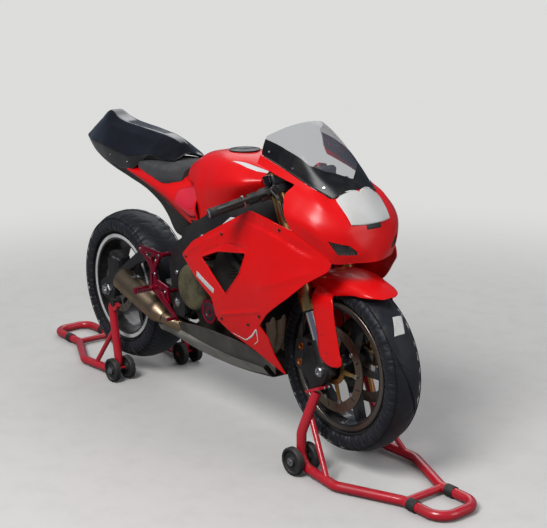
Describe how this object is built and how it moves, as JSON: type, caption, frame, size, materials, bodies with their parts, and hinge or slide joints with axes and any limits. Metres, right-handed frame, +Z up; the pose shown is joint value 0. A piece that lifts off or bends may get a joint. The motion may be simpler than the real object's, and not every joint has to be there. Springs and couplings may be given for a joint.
{
  "type": "racing motorcycle on paddock stands",
  "caption": "supersport race motorcycle with full fairing, tyre warmers and race tail, standing on red front and rear paddock stands",
  "frame": {"origin": "floor, below the middle of the whole length and width", "axes": "+X forward, +Y to the rider's left, +Z up"},
  "size_m": [2.607, 0.7042, 1.1936],
  "materials": {
    "red_paint": "gloss red lacquer on moulded panels",
    "black_gloss": "gloss black lacquer",
    "grey_matt": "worn matt grey black",
    "white_board": "plain white sheet",
    "screen": "light smoke clear plastic",
    "foam": "dense foam",
    "frame_black": "satin black on aluminium",
    "wheel_black": "black wheel enamel",
    "engine": "dark cast aluminium",
    "cover": "dirty bronze olive cast covers",
    "steel": "worn steel",
    "gold": "gold anodising",
    "chrome": "hard chrome",
    "titanium": "heat tinted titanium",
    "crimson": "crimson anodising",
    "caliper_black": "black casting",
    "cooler": "black finned core",
    "controls": "black controls",
    "grip": "ribbed rubber",
    "cap": "black ring with a bright rim",
    "tyre": "tyre rubber",
    "warmer": "black coated nylon",
    "stand_red": "red enamel on steel tube",
    "roller": "hard rubber rollers"
  },
  "bodies": {
    "front_wheel": {"front_rim": "wheel_black", "front_tyre": "tyre", "front_warmer": "warmer", "front_discs": "steel"},
    "rear_wheel": {"rear_rim": "wheel_black", "rear_tyre": "tyre", "rear_warmer": "warmer", "rear_disc": "steel", "rear_sprocket": "steel"},
    "rear_rollers_right": {"rear_stand_rollers_right": "roller"},
    "rear_rollers_left": {"rear_stand_rollers_left": "roller"},
    "front_rollers_right": {"front_stand_rollers_right": "roller"},
    "front_rollers_left": {"front_stand_rollers_left": "roller"},
    "steering": {"yokes": "frame_black", "fork_outers": "gold", "fork_inners": "chrome", "fork_bottoms": "frame_black", "front_axle": "steel", "clip_ons": "frame_black", "grips": "grip", "hand_controls": "controls", "front_calipers": "caliper_black", "front_mudguard": "red_paint", "brake_hoses": "controls", "front_stand": "stand_red", "front_stand_feet": "roller"},
    "chassis": {"belly_pan": "grey_matt", "drive_chain": "steel", "drive_sprocket": "steel", "engine_block": "engine", "engine_covers": "cover", "exhaust_header": "titanium", "filler_cap": "cap", "fuel_tank": "red_paint", "instrument_dash": "controls", "lower_fairings": "red_paint", "main_frame": "frame_black", "number_board": "white_board", "radiator": "cooler", "rear_axle": "steel", "rear_caliper": "frame_black", "rear_stand": "stand_red", "rear_stand_feet": "roller", "rearset_left": "crimson", "rearset_right": "crimson", "seat_base": "red_paint", "seat_pad": "foam", "side_fairing_left": "red_paint", "side_fairing_right": "red_paint", "silencer": "titanium", "swingarm": "frame_black", "tail_cowl": "black_gloss", "undertray": "grey_matt", "upper_fairing": "red_paint", "windscreen": "screen"}
  },
  "joints": [
    {"name": "steering", "type": "hinge", "parent": "chassis", "child": "steering", "pos_m": [0.51545, 0, 0.82057], "axis": [-0.4035, 0, 0.915], "range_deg": [-27, 27]},
    {"name": "front_wheel_spin", "type": "hinge", "parent": "steering", "child": "front_wheel", "pos_m": [0.7465, 0, 0.376], "axis": [0, 1, 0], "continuous": true},
    {"name": "rear_wheel_spin", "type": "hinge", "parent": "chassis", "child": "rear_wheel", "pos_m": [-0.6535, 0, 0.372], "axis": [0, 1, 0], "continuous": true},
    {"name": "rear_rollers_right_spin", "type": "hinge", "parent": "chassis", "child": "rear_rollers_right", "pos_m": [-0.5385, -0.172, 0.05], "axis": [0, 1, 0], "continuous": true},
    {"name": "rear_rollers_left_spin", "type": "hinge", "parent": "chassis", "child": "rear_rollers_left", "pos_m": [-0.5385, 0.172, 0.05], "axis": [0, 1, 0], "continuous": true},
    {"name": "front_rollers_right_spin", "type": "hinge", "parent": "steering", "child": "front_rollers_right", "pos_m": [0.6885, -0.172, 0.05], "axis": [0, 1, 0], "continuous": true},
    {"name": "front_rollers_left_spin", "type": "hinge", "parent": "steering", "child": "front_rollers_left", "pos_m": [0.6885, 0.172, 0.05], "axis": [0, 1, 0], "continuous": true}
  ]
}
